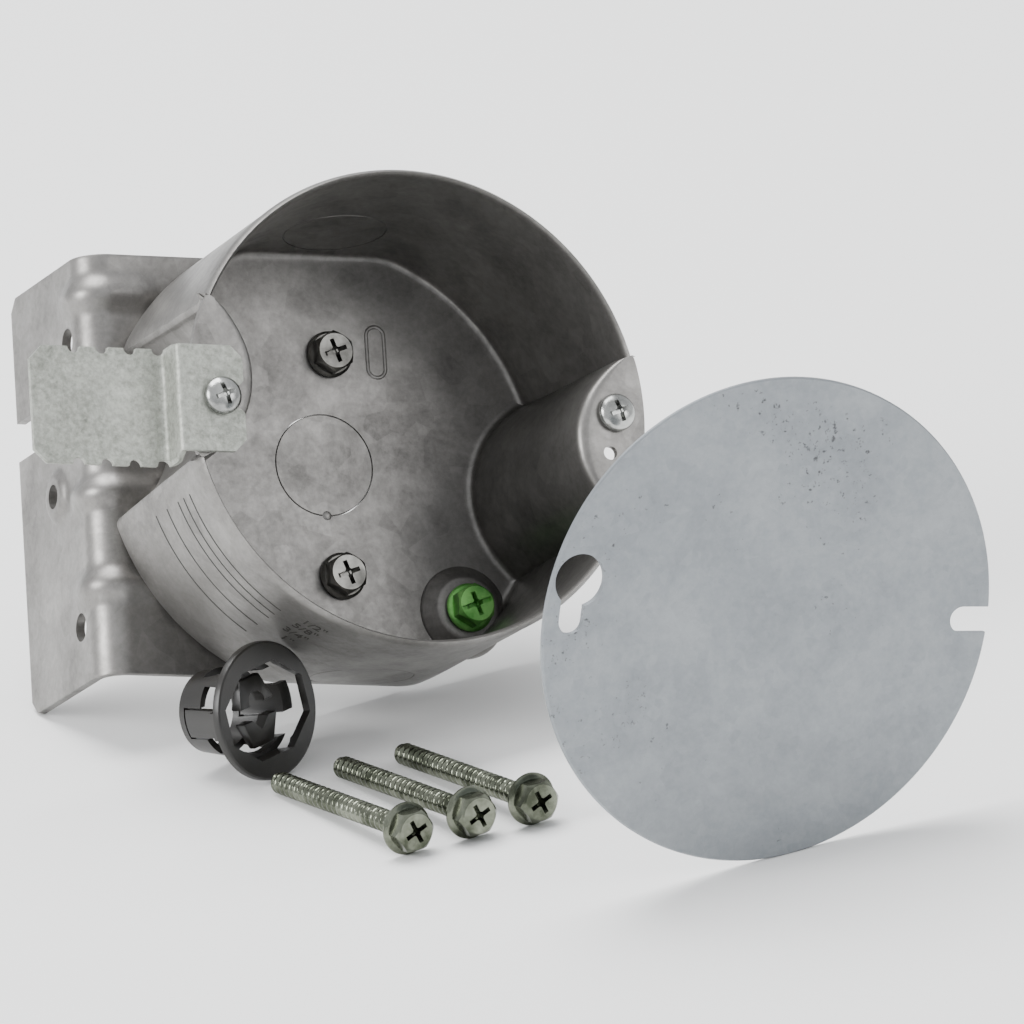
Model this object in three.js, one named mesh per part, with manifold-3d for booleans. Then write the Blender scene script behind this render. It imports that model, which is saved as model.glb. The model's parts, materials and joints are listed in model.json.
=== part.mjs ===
// Round steel ceiling box on a side-mounting bracket, with its loose fittings:
// a blank cover, a snap-in cable connector and three mounting screws.
//
// Millimetres, +Z up. The box leans back on two corners, so it is modelled in an upright
// frame of its own (x to its right, y to its top, z out of its mouth, origin on the middle
// of its back) and one group tips it over. Pieces that touch keep a gap of CLEAR.

import * as THREE from 'three';
import { mergeVertices } from 'three/addons/utils/BufferGeometryUtils.js';
import Module from 'manifold-3d';

const wasm = await Module();
wasm.setup();

// ---- driving dimensions ----

const CLEAR = 0.3;            // gap between pieces that touch

// Box: a 4 inch drum, 2 1/8 inches deep, for a 3 1/2 inch cover screw spacing.
const DRUM_RADIUS = 51;
const DRUM_DEPTH = 54;
const WALL = 1.6;
const EAR_SCREW_X = 88.9 / 2;
const POCKET_X = 55;          // axis of the round pocket that clears each cover screw
const POCKET_Y = 5.5;         // the pockets sit off centre, half a turn apart
const POCKET_BACK_RADIUS = 20;
const POCKET_RIM_RADIUS = 17.4;
const FACET_BACK = 47.5;      // the flat on the top and the bottom, measured at the back...
const FACET_RUN = 44;         // ...and how far forward it fades into the round wall
const KNOCKOUT_RADIUS = 11.1;
const KNOCKOUT_DEPTH = 15;    // of the two knockouts in the flats, from the back
const GROUND_AT = [29.7, -30.7];
const DIMPLE_HEIGHT = 3;
const BRACKET_SCREW_AT = [2.5, 24];

// Bracket: a plate behind the box, bent back into a wing that nails to a joist.
const PLATE = 2;
const PLATE_TOP = 44.6;
const PLATE_BOTTOM = -45.8;
const PLATE_RIGHT = 15;
const WING_X = -51.7;         // outer face of the wing
const WING_BACK = -42;
const WING_NOTCH = { low: 9.3, high: 17.7, deep: 11 };
const BEND_RADIUS = 6.6;
const WING_HOLES = [          // height, depth and radius
  [27.6, -10.5, 3],
  [-3.3, -20.7, 2.6],
  [-33.6, -11.5, 3],
];

// Depth tab: a Z of thin strip under the left cover screw.
const TAB = 1.3;
const TAB_TOP = 11.5;
const TAB_BOTTOM = -13.4;
const TAB_INNER_X = -39.4;
const TAB_STEP_X = -53.9;
const TAB_END_X = -83.3;
const TAB_NOTCHES = 4;        // half-round nicks on each long edge, to bend it at
const TAB_NOTCH_PITCH = 6.2;
const TAB_SET_BACK = 7.8;

// Cover, connector and screws.
const COVER_RADIUS = 50.4;
const COVER_THICK = 1.3;
const FLANGE_RADIUS = 14.5;
const FLANGE_THICK = 2;
const BARREL_RADIUS = 10.5;
const BARREL_END_RADIUS = 8.6;
const BARREL_LENGTH = 15.5;
const BARREL_WALL = 1.4;
const MOUNT_SCREW_LENGTH = 50.8;

// Where things stand on the floor: turns in degrees, places in millimetres.
const BOX_LEAN = [58.8, 23.9, -2.3];
const COVER_AT = [87.5, -137.8];
const COVER_TURN = 24;        // away from facing straight to the front
const COVER_SPIN = -13.3;
const CONNECTOR_AT = [-16.8, -61.5];
const CONNECTOR_HEADING = -43;
const CONNECTOR_TILT = 10;
const SCREW_HEADING = -59.5;
const SCREW_HEADS = [[10.9, -116.1], [24, -110.4], [36.8, -106.1]];

// ---- materials ----

const finish = (color, roughness, metalness) =>
  new THREE.MeshStandardMaterial({ color, roughness, metalness });
const galvanised = finish('#9b9994', 0.5, 0.85);
const tabZinc = finish('#c5c7bf', 0.55, 0.7);
const brightZinc = finish('#b4b5b2', 0.3, 0.95);
const darkZinc = finish('#7d7c78', 0.4, 0.9);
const greenZinc = finish('#6fb35c', 0.4, 0.6);
const coverZinc = finish('#a9afb4', 0.45, 0.85);
const greyZinc = finish('#6b6f62', 0.35, 0.9);
const blackPlastic = finish('#2b261f', 0.45, 0);

// ---- solids ----

const rad = THREE.MathUtils.degToRad;

function solid(geometry) {
  const bare = geometry.clone();
  bare.deleteAttribute('normal');
  bare.deleteAttribute('uv');
  const merged = mergeVertices(bare, 1e-4);
  return new wasm.Manifold(new wasm.Mesh({
    numProp: 3,
    vertProperties: new Float32Array(merged.attributes.position.array),
    triVerts: new Uint32Array(merged.index.array),
  }));
}

function geometryOf(body) {
  const { vertProperties, triVerts } = body.getMesh();
  const geometry = new THREE.BufferGeometry();
  geometry.setAttribute('position', new THREE.BufferAttribute(vertProperties, 3));
  geometry.setIndex(new THREE.BufferAttribute(triVerts, 1));
  geometry.computeVertexNormals();
  return geometry;
}

function named(name, body, material) {
  const mesh = new THREE.Mesh(geometryOf(body), material);
  mesh.name = name;
  return mesh;
}

/** An upright rod on the z axis, or a cone where top and bottom differ. */
function rod(radius, low, high, { x = 0, y = 0, sides = 32, top = radius } = {}) {
  const geometry = new THREE.CylinderGeometry(top, radius, high - low, sides);
  return solid(geometry.rotateX(Math.PI / 2).translate(x, y, (low + high) / 2));
}

function block([x0, x1], [y0, y1], [z0, z1]) {
  const geometry = new THREE.BoxGeometry(x1 - x0, y1 - y0, z1 - z0);
  return solid(geometry.translate((x0 + x1) / 2, (y0 + y1) / 2, (z0 + z1) / 2));
}

/** A flat outline pushed along z. */
function slab(shape, low, high, curveSegments = 12) {
  const geometry = new THREE.ExtrudeGeometry(shape, {
    depth: high - low, bevelEnabled: false, curveSegments,
  });
  return solid(geometry.translate(0, 0, low));
}

/** An outline of [x, z] points pushed along y. */
function along(shape, low, high) {
  const geometry = new THREE.ExtrudeGeometry(shape, {
    depth: high - low, bevelEnabled: false, curveSegments: 8,
  });
  return solid(geometry.rotateX(Math.PI / 2).translate(0, high, 0));
}

function polygon(points) {
  return new THREE.Shape(points.map(([x, y]) => new THREE.Vector2(x, y)));
}

function withoutAll(body, cuts) {
  return cuts.reduce((left, cut) => left.subtract(cut), body);
}

/** A rod across x: for holes through the wing. */
function crossRod(radius, [x0, x1], y, z) {
  const geometry = new THREE.CylinderGeometry(radius, radius, x1 - x0, 24);
  return solid(geometry.rotateZ(Math.PI / 2).translate((x0 + x1) / 2, y, z));
}

// ---- box shell and its knockouts ----

const FACET_TILT = Math.atan2(DRUM_RADIUS - FACET_BACK, FACET_RUN);

/** What the top (side 1) or bottom (side -1) flat cuts off a drum, moved in by inset. */
function facetCut(side, inset) {
  const size = 3 * DRUM_RADIUS;
  const geometry = new THREE.BoxGeometry(size, size, size).translate(0, size / 2 - inset, 0);
  geometry.rotateX(-FACET_TILT).translate(0, FACET_BACK, 0);
  if (side < 0) geometry.rotateZ(Math.PI);
  return solid(geometry);
}

/** The tapered pocket beside a cover screw, widened all round by grow. */
function pocketCut(side, grow, high) {
  const taper = (POCKET_BACK_RADIUS - POCKET_RIM_RADIUS) / DRUM_DEPTH;
  const radiusAt = (z) => POCKET_BACK_RADIUS + grow - taper * z;
  const at = { x: side * POCKET_X, y: -side * POCKET_Y, sides: 64, top: radiusAt(high) };
  return rod(radiusAt(-1), -1, high, at);
}

/** A point on the middle of a flat: depth along the box, out by lift from its face. */
function onFacet(side, depth, lift) {
  const normal = new THREE.Vector3(0, Math.cos(FACET_TILT), -Math.sin(FACET_TILT));
  const face = new THREE.Vector3(0, FACET_BACK + depth * Math.tan(FACET_TILT), depth);
  const point = face.addScaledVector(normal, lift);
  return point.setY(side * point.y);
}

/** A short rod standing square on a flat, from low to high below and above its face. */
function facetRod(side, radius, low, high) {
  const geometry = new THREE.CylinderGeometry(radius, radius, high - low, 40);
  geometry.rotateX(-side * FACET_TILT);
  const middle = onFacet(side, KNOCKOUT_DEPTH, (low + high) / 2);
  return solid(geometry.translate(middle.x, middle.y, middle.z));
}

function boxShell() {
  const outside = withoutAll(rod(DRUM_RADIUS, 0, DRUM_DEPTH, { sides: 96 }), [
    facetCut(1, 0), facetCut(-1, 0),
    pocketCut(1, 0, DRUM_DEPTH - WALL), pocketCut(-1, 0, DRUM_DEPTH - WALL),
  ]);
  const inside = withoutAll(rod(DRUM_RADIUS - WALL, WALL, DRUM_DEPTH + 1, { sides: 96 }), [
    facetCut(1, WALL), facetCut(-1, WALL),
    pocketCut(1, WALL, DRUM_DEPTH + 2), pocketCut(-1, WALL, DRUM_DEPTH + 2),
  ]);
  const [groundX, groundY] = GROUND_AT;
  const [screwX, screwY] = BRACKET_SCREW_AT;
  const at = { x: groundX, y: groundY };
  const dimple = rod(9.5, WALL - 0.5, WALL + DIMPLE_HEIGHT, { ...at, top: 6.5 });
  const hollow = rod(8.5, -0.5, DIMPLE_HEIGHT, { ...at, top: 5.5 });
  const cuts = [
    hollow,
    rod(2.8, -1, 10, at),
    rod(KNOCKOUT_RADIUS, -1, WALL + 1, { sides: 40 }),
    facetRod(1, KNOCKOUT_RADIUS, -WALL - 1, 1),
    facetRod(-1, KNOCKOUT_RADIUS, -WALL - 1, 1),
    rod(2.5, -1, WALL + 1, { x: screwX, y: screwY, sides: 24 }),
    rod(2.5, -1, WALL + 1, { x: screwX, y: -screwY, sides: 24 }),
  ];
  for (const side of [1, -1]) {
    const low = DRUM_DEPTH - WALL - 1;
    cuts.push(rod(2.4, low, DRUM_DEPTH + 1, { x: side * EAR_SCREW_X, sides: 24 }));
    cuts.push(rod(1.5, low, DRUM_DEPTH + 1, { x: side * 42.8, y: -side * 8.5, sides: 16 }));
  }
  return withoutAll(outside.subtract(inside).add(dimple), cuts);
}

const backKnockout = () => rod(KNOCKOUT_RADIUS - CLEAR, 0, WALL, { sides: 40 });
const facetKnockout = (side) => facetRod(side, KNOCKOUT_RADIUS - CLEAR, -WALL, 0);

// ---- bracket ----

function bracket() {
  const front = -CLEAR;
  const bendX = WING_X + BEND_RADIUS;
  const bendZ = front - BEND_RADIUS;
  const profile = new THREE.Shape();
  profile.moveTo(PLATE_RIGHT, front);
  profile.lineTo(bendX, front);
  profile.absarc(bendX, bendZ, BEND_RADIUS, Math.PI / 2, Math.PI, false);
  profile.lineTo(WING_X, WING_BACK);
  profile.lineTo(WING_X + PLATE, WING_BACK);
  profile.lineTo(WING_X + PLATE, bendZ);
  profile.absarc(bendX, bendZ, BEND_RADIUS - PLATE, Math.PI, Math.PI / 2, true);
  profile.lineTo(PLATE_RIGHT, front - PLATE);
  const [screwX, screwY] = BRACKET_SCREW_AT;
  const through = [WING_X - 1, WING_X + PLATE + 1];
  const chamfer = 3;
  const cornerCut = (y, z) => {
    const geometry = new THREE.BoxGeometry(10, chamfer * Math.SQRT2, chamfer * Math.SQRT2);
    return solid(geometry.rotateX(Math.PI / 4).translate(WING_X, y, z));
  };
  return withoutAll(along(profile, PLATE_BOTTOM, PLATE_TOP), [
    cornerCut(PLATE_TOP, WING_BACK),
    cornerCut(PLATE_BOTTOM, WING_BACK),
    block(through, [WING_NOTCH.low, WING_NOTCH.high], [WING_BACK - 1, WING_BACK + WING_NOTCH.deep]),
    ...WING_HOLES.map(([y, z, radius]) => crossRod(radius, through, y, z)),
    rod(13, -5, 1, { sides: 40 }),
    rod(2.5, -5, 1, { x: screwX, y: screwY, sides: 24 }),
    rod(2.5, -5, 1, { x: screwX, y: -screwY, sides: 24 }),
  ]);
}

// ---- depth tab ----

function depthTab() {
  const back = DRUM_DEPTH + CLEAR;
  const low = back - TAB_SET_BACK;
  const strip = along(polygon([
    [TAB_INNER_X, back], [TAB_INNER_X, back + TAB],
    [TAB_STEP_X, back + TAB], [TAB_STEP_X, low + TAB],
    [TAB_END_X, low + TAB], [TAB_END_X, low],
    [TAB_STEP_X + TAB, low], [TAB_STEP_X + TAB, back],
  ]), TAB_BOTTOM, TAB_TOP);
  const slotRadius = 2.5;
  const tall = [low - 1, back + TAB + 1];
  const cuts = [
    rod(slotRadius, ...tall, { x: -EAR_SCREW_X, sides: 24 }),
    block([-EAR_SCREW_X, TAB_INNER_X + 1], [-slotRadius, slotRadius], tall),
  ];
  const chamfer = 4;
  for (const x of [TAB_INNER_X, TAB_END_X]) {
    for (const y of [TAB_TOP, TAB_BOTTOM]) {
      const geometry = new THREE.BoxGeometry(chamfer, chamfer, 30).rotateZ(Math.PI / 4);
      cuts.push(solid(geometry.translate(x, y, DRUM_DEPTH)));
    }
  }
  for (let i = 0; i < TAB_NOTCHES; i += 1) {
    const x = TAB_STEP_X - 1 - i * TAB_NOTCH_PITCH;
    for (const y of [TAB_TOP, TAB_BOTTOM]) cuts.push(rod(1.4, ...tall, { x, y, sides: 16 }));
  }
  return withoutAll(strip, cuts);
}

// ---- screws: head up the z axis, its underside at z = 0 ----

/** A cross recess sunk into a head whose top is at height top. */
function crossRecess(top, span, depth) {
  const width = span * 0.24;
  const half = span / 2;
  const arm = block([-half, half], [-width / 2, width / 2], [top - depth, top + 1]);
  const other = block([-width / 2, width / 2], [-half, half], [top - depth, top + 1]);
  return arm.add(other);
}

function hexScrew({ flange, acrossFlats, head, shank, length, tip = 0 }) {
  const washer = 1;
  const hexRadius = acrossFlats / Math.sqrt(3);
  const body = rod(flange, 0, washer, { sides: 36, top: flange - 0.4 })
    .add(rod(hexRadius, washer - 0.2, head, { sides: 6 }))
    .add(rod(shank, tip - length, 0.2, { sides: 24 }));
  const point = rod(shank * 0.6, -length, tip - length + 0.01, { sides: 24, top: shank });
  const whole = tip > 0 ? body.add(point) : body;
  return whole.subtract(crossRecess(head, acrossFlats * 0.62, head * 0.6));
}

function panScrew({ radius, head, shank, length }) {
  const profile = [[0, head], [radius * 0.55, head * 0.94], [radius * 0.85, head * 0.72],
    [radius, head * 0.35], [radius, 0], [shank, 0], [shank, -length], [0, -length]];
  const geometry = new THREE.LatheGeometry(
    profile.reverse().map(([x, y]) => new THREE.Vector2(x, y)), 32);
  return solid(geometry.rotateX(Math.PI / 2)).subtract(crossRecess(head, radius * 1.1, head * 0.7));
}

// ---- cover ----

function cover() {
  const narrow = 2.7;
  const through = [-1, COVER_THICK + 1];
  return withoutAll(rod(COVER_RADIUS, 0, COVER_THICK, { sides: 96 }), [
    rod(narrow, ...through, { x: -EAR_SCREW_X, sides: 24 }),
    rod(5.5, ...through, { x: -EAR_SCREW_X + 1, y: 8.4, sides: 32 }),
    block([-EAR_SCREW_X - narrow, -EAR_SCREW_X + narrow], [0, 6], through),
    rod(narrow, ...through, { x: EAR_SCREW_X, sides: 24 }),
    block([EAR_SCREW_X, COVER_RADIUS + 1], [-narrow, narrow], through),
  ]);
}

// ---- cable connector: flange face up the z axis, barrel down it ----

const JAW_HALF_WIDTH = 5.2;
const JAW_HINGE_Y = 7.4;
const SNAP_HALF_WIDTH = 3;
const SNAP_BACK = -13.5;
const SNAP_FRONT = -2.4;

/** Outer radius of the tapered barrel at a height. */
const barrelAt = (z) => BARREL_RADIUS + (BARREL_RADIUS - BARREL_END_RADIUS) * z / BARREL_LENGTH;

function octagon(acrossFlats) {
  const corner = acrossFlats / 2 / Math.cos(Math.PI / 8);
  const points = Array.from({ length: 8 }, (_, i) => {
    const angle = Math.PI / 8 + i * Math.PI / 4;
    return [corner * Math.cos(angle), corner * Math.sin(angle)];
  });
  return polygon(points);
}

function connectorBody() {
  const window = SNAP_HALF_WIDTH + 0.4;
  const back = -BARREL_LENGTH;
  const bore = (z) => barrelAt(z) - BARREL_WALL;
  return rod(FLANGE_RADIUS, 0, FLANGE_THICK, { sides: 48, top: FLANGE_RADIUS - 0.5 })
    .add(rod(barrelAt(back), back, 0.5, { sides: 48, top: barrelAt(0.5) }))
    .subtract(rod(bore(back - 1), back - 1, 0, { sides: 48, top: bore(0) }))
    .subtract(slab(octagon(18), -1, FLANGE_THICK + 1))
    .subtract(block([-20, 20], [-window, window], [SNAP_BACK - 0.4, SNAP_FRONT + 0.4]))
    .subtract(block([-3.5, 3.5], [-20, 20], [-11, -4]));
}

/** A springy flap across the bore, with a notch at its edge that grips the cable. */
function connectorJaw(side) {
  const flap = polygon([
    [-3.1, JAW_HINGE_Y], [-JAW_HALF_WIDTH, 1.2], [-3.2, 0.6],
    [-2.4, 3], [2.4, 3], [3.2, 0.6], [JAW_HALF_WIDTH, 1.2], [3.1, JAW_HINGE_Y],
  ]);
  const plate = slab(flap, -3, -1.2);
  return side > 0 ? plate : plate.rotate([0, 0, 180]);
}

/** A springy tongue in the side of the barrel with a catch at its free end. */
function snapTab(side) {
  const backX = barrelAt(SNAP_BACK);
  const frontX = barrelAt(SNAP_FRONT);
  const tongue = along(polygon([
    [backX - BARREL_WALL, SNAP_BACK], [backX, SNAP_BACK], [frontX + 1.5, SNAP_FRONT - 1.5],
    [frontX + 1.5, SNAP_FRONT], [frontX - BARREL_WALL, SNAP_FRONT],
  ]), -SNAP_HALF_WIDTH, SNAP_HALF_WIDTH);
  return side > 0 ? tongue : tongue.rotate([0, 0, 180]);
}

// ---- assembly ----

const onAxis = (mesh, x, y, z) => {
  mesh.position.set(x, y, z);
  return mesh;
};

function boxAssembly() {
  const group = new THREE.Group();
  const [groundX, groundY] = GROUND_AT;
  const [screwX, screwY] = BRACKET_SCREW_AT;
  const floorScrew = hexScrew({ flange: 5, acrossFlats: 8, head: 4, shank: 2.1, length: 7.5 });
  const groundScrew = hexScrew({ flange: 5.2, acrossFlats: 8, head: 4.6, shank: 2.3, length: 6.5 });
  const rimScrew = panScrew({ radius: 4, head: 2.6, shank: 2, length: 12.7 });
  const onRim = DRUM_DEPTH + CLEAR;
  const onFloor = WALL + CLEAR;
  group.add(
    named('box_shell', boxShell(), galvanised),
    named('knockout_back', backKnockout(), galvanised),
    named('knockout_upper', facetKnockout(1), galvanised),
    named('knockout_lower', facetKnockout(-1), galvanised),
    named('bracket', bracket(), galvanised),
    named('depth_tab', depthTab(), tabZinc),
    onAxis(named('rim_screw_left', rimScrew, brightZinc), -EAR_SCREW_X, 0, onRim + TAB + CLEAR),
    onAxis(named('rim_screw_right', rimScrew, brightZinc), EAR_SCREW_X, 0, onRim),
    onAxis(named('bracket_screw_upper', floorScrew, darkZinc), screwX, screwY, onFloor),
    onAxis(named('bracket_screw_lower', floorScrew, darkZinc), screwX, -screwY, onFloor),
    onAxis(named('ground_screw', groundScrew, greenZinc), groundX, groundY, onFloor + DIMPLE_HEIGHT),
  );
  group.rotation.set(...BOX_LEAN.map(rad), 'XYZ');
  return group;
}

function coverPiece() {
  const mesh = named('cover', cover(), coverZinc);
  mesh.rotation.z = rad(COVER_SPIN);
  const group = new THREE.Group();
  group.add(mesh);
  group.rotation.set(Math.PI / 2, 0, rad(COVER_TURN), 'ZYX');
  group.position.set(...COVER_AT, 0);
  return group;
}

/** Lays a group whose z axis is its length along a heading, rising by tilt towards +z. */
function lay(group, [x, y], heading, tilt) {
  group.rotation.set(0, Math.PI / 2 - tilt, rad(heading), 'ZYX');
  group.position.set(x, y, 0);
  return group;
}

function connectorAssembly() {
  const group = new THREE.Group();
  group.add(
    named('connector_body', connectorBody(), blackPlastic),
    named('connector_jaw_upper', connectorJaw(1), blackPlastic),
    named('connector_jaw_lower', connectorJaw(-1), blackPlastic),
    named('connector_snap_tab_right', snapTab(1), blackPlastic),
    named('connector_snap_tab_left', snapTab(-1), blackPlastic),
  );
  group.children.forEach((piece) => { piece.rotation.z = Math.PI / 2; });
  return lay(group, CONNECTOR_AT, CONNECTOR_HEADING, rad(CONNECTOR_TILT));
}

function mountingScrews() {
  const shape = { flange: 5.5, acrossFlats: 8, head: 4.6, shank: 2.4 };
  const body = hexScrew({ ...shape, length: MOUNT_SCREW_LENGTH, tip: 1.2 });
  const tilt = Math.asin((shape.flange - shape.shank) / MOUNT_SCREW_LENGTH);
  return SCREW_HEADS.map((at, i) => {
    const group = new THREE.Group();
    group.add(named(`mounting_screw_${i + 1}`, body, greyZinc));
    return lay(group, at, SCREW_HEADING, tilt);
  });
}

/** Lowers or lifts a group until its lowest point is on the floor. */
function settle(group) {
  group.position.z -= new THREE.Box3().setFromObject(group, true).min.z;
  return group;
}

const pieces = [boxAssembly(), coverPiece(), connectorAssembly(), ...mountingScrews()];
const object = new THREE.Group();
object.add(...pieces.map(settle));

// The origin is on the floor under the middle of everything.
const middle = new THREE.Box3().setFromObject(object, true).getCenter(new THREE.Vector3());
object.position.set(-middle.x, -middle.y, 0);
object.updateMatrixWorld(true);

export default object;
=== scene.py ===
# %% [markdown]
# # A round ceiling box with its loose fittings
# The real thing is a drawn steel box on a folded side bracket, with a blank cover, a snap-in
# cable connector and three mounting screws laid out in front. The solids come from a
# fixed frame. They could be shown as they are, but they have no pressed corners, beads,
# threads or finish, so every piece here is a finer one in the same place.

# %% Load the fixed frame
import json
import math
import bpy
from mathutils import Matrix, Vector


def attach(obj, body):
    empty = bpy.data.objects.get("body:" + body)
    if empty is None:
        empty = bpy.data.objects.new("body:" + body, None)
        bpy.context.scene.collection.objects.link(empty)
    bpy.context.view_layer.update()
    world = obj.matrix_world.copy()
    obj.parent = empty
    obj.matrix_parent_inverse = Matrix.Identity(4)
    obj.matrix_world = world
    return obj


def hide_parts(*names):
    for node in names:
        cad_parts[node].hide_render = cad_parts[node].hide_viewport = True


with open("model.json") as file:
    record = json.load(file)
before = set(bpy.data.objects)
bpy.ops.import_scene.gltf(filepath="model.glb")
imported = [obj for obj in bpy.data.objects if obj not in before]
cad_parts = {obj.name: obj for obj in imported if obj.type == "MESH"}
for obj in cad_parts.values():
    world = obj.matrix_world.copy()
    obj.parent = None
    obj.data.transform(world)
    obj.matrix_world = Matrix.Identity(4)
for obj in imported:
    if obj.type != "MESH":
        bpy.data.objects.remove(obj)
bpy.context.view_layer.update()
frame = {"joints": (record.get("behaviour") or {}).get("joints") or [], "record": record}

# %% [markdown]
# ## Where each group of pieces stands
# The box leans back on two corners, so it is modelled upright in millimetres (x to its
# right, y to its top, z out of its mouth) and set down once, when it is finished. The same
# goes for the cover, the connector and the screws. Each of these frames is worked out from
# the mounts and joints of the record. Copying the angles by hand would drift from them.

# %% One matrix for each upright frame
MM = 0.001
to_metres = Matrix.Scale(MM, 4)
mounts = {m["name"]: m for m in frame["record"]["mounts"]}
joints = {j["name"]: j for j in frame["joints"]}

def axes(x, y, z, origin):
    """The matrix of a frame with these directions, its origin in metres."""
    turn = Matrix((x, y, z)).transposed().to_4x4()
    return Matrix.Translation(origin) @ turn @ to_metres

box_x = -Vector(mounts["joist_side"]["axis"]).normalized()
box_z = -Vector(mounts["bracket_rear"]["axis"]).normalized()
box_y = box_z.cross(box_x)
rear_at = Vector((-28, 20, -2.3)) * MM      # the bracket_rear mount, seen from the box
box_origin = Vector(mounts["bracket_rear"]["pos_m"]) - (
    box_x * rear_at.x + box_y * rear_at.y + box_z * rear_at.z)
BOX = axes(box_x, box_y, box_z, box_origin)
under_box = Vector((box_origin.x, box_origin.y, 0))
print("box origin", [round(v / MM, 1) for v in box_origin])

# %% The cover, the connector and the three screws
rad = math.radians
COVER_TURN, COVER_SPIN = 24, -13.3          # away from facing the front, and about its own axis
COVER = (
    Matrix.Translation(mounts["cover_rear"]["pos_m"]) @ Matrix.Rotation(rad(COVER_TURN), 4, "Z")
    @ Matrix.Rotation(rad(90), 4, "X") @ Matrix.Rotation(rad(COVER_SPIN), 4, "Z") @ to_metres)

JAW_HINGE = 2.1                             # how far behind the flange's back the jaws hinge
hinge_up, hinge_down = (
    Vector(joints[n]["pos_m"]) for n in ("jaw_upper_swing", "jaw_lower_swing"))
plug_x = Vector(joints["jaw_upper_swing"]["axis"]).normalized()
plug_y = (hinge_up - hinge_down).normalized()
plug_z = plug_x.cross(plug_y)
PLUG = axes(plug_x, plug_y, plug_z, (hinge_up + hinge_down) / 2 + plug_z * JAW_HINGE * MM)

HEAD_RADIUS, THREAD_RADIUS, SCREW_LENGTH = 5.5, 2.4, 50.8
SCREW_HEADING = -59.5
# Each lies on its head's rim and its tip.
SCREW_TILT = math.asin((HEAD_RADIUS - THREAD_RADIUS) / SCREW_LENGTH)
SCREWS = [
    Matrix.Translation(under_box + Vector((x, y, HEAD_RADIUS * math.cos(SCREW_TILT))) * MM)
    @ Matrix.Rotation(rad(SCREW_HEADING), 4, "Z")
    @ Matrix.Rotation(rad(90) - SCREW_TILT, 4, "Y") @ to_metres
    for x, y in ((10.9, -116.1), (24, -110.4), (36.8, -106.1))]
print("connector looks along", [round(v, 2) for v in plug_z])

# %% [markdown]
# ## Camera, floor and light
# A long lens from 2.9 m keeps the round mouth and the cover nearly free of perspective.
# Bare zinc shows what it reflects, so the light is a few big soft panels round a pale room:
# small lamps would give it hard white spots.

# %% Camera
CAMERA_AT = Vector((39.0, -2870.2, 1019.2))
CAMERA_DOWN, CAMERA_ROLL = 19, -5.73
camera = bpy.data.objects.new("camera", bpy.data.cameras.new("camera"))
bpy.context.scene.collection.objects.link(camera)
camera.data.lens = 506.25
camera.data.clip_end = 50
camera.matrix_world = (
    Matrix.Translation(under_box + CAMERA_AT * MM)
    @ Matrix.Rotation(rad(90 - CAMERA_DOWN), 4, "X")
    @ Matrix.Rotation(rad(CAMERA_ROLL), 4, "Z"))
bpy.context.scene.camera = camera

# %% Small functions that add nodes
def srgb(code):
    """A hex colour as linear red, green, blue and alpha."""
    parts = [int(code[i:i + 2], 16) / 255 for i in (1, 3, 5)]
    linear = [p / 12.92 if p <= 0.04045 else ((p + 0.055) / 1.055) ** 2.4 for p in parts]
    return (*linear, 1)

def add(tree, kind, sockets=None, **settings):
    """Adds a node: settings are its properties, sockets its values or the links into it."""
    made = tree.nodes.new("ShaderNode" + kind)
    for key, value in settings.items():
        setattr(made, key, value)
    for socket, value in (sockets or {}).items():
        if isinstance(value, bpy.types.NodeSocket):
            tree.links.new(value, made.inputs[socket])
        else:
            made.inputs[socket].default_value = value
    return made

def new_material(name):
    """An empty material: its tree and its shader, joined to the output."""
    material = bpy.data.materials.new(name)
    material.use_nodes = True
    tree = material.node_tree
    tree.nodes.clear()
    shader = add(tree, "BsdfPrincipled")
    add(tree, "OutputMaterial", {"Surface": shader.outputs["BSDF"]})
    return material, tree, shader

def noise(tree, place, size, detail, **more):
    """Noise with features of about size millimetres."""
    return add(tree, "TexNoise", {
        "Vector": place, "Scale": 1000 / size, "Detail": detail, **more}).outputs["Fac"]

def ramp(tree, value, *stops):
    """A colour for a value, from stops that each give a position and a hex colour."""
    tone = add(tree, "ValToRGB", {"Fac": value})
    for element, (position, code) in zip(tone.color_ramp.elements, stops):
        element.position = position
        element.color = srgb(code)
    return tone.outputs["Color"]

def bump(tree, height, strength, distance, **under):
    """A normal raised by height, over the Normal that under may give. Distance in metres."""
    return add(tree, "Bump", {
        "Height": height, "Strength": strength, "Distance": distance, **under}).outputs["Normal"]

# %% Floor
def bare():
    """Object mode with nothing selected, so that an operator touches only the new piece."""
    if bpy.context.mode != "OBJECT":
        bpy.ops.object.mode_set(mode="OBJECT")
    bpy.ops.object.select_all(action="DESELECT")

bare()
bpy.ops.mesh.primitive_plane_add(size=9)
floor = bpy.context.object
floor.name = "floor"
paper, tree, shader = new_material("matt_white_paper")
grain = add(tree, "TexNoise", {"Scale": 3.0, "Detail": 3.0})
shade = ramp(tree, grain.outputs["Fac"], (0, "#f1f1f0"), (1, "#f6f6f5"))
tree.links.new(shade, shader.inputs["Base Color"])
shader.inputs["Roughness"].default_value = 0.95
floor.data.materials.append(paper)

# %% Light
TARGET = Vector((0, 0, 0.05))

def panel(name, size, power, place):
    """A square soft light that faces the target."""
    light = bpy.data.objects.new(name, bpy.data.lights.new(name, "AREA"))
    light.data.size = size
    light.data.energy = power
    light.location = place
    light.rotation_euler = (TARGET - Vector(place)).to_track_quat("-Z", "Y").to_euler()
    bpy.context.scene.collection.objects.link(light)

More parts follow.
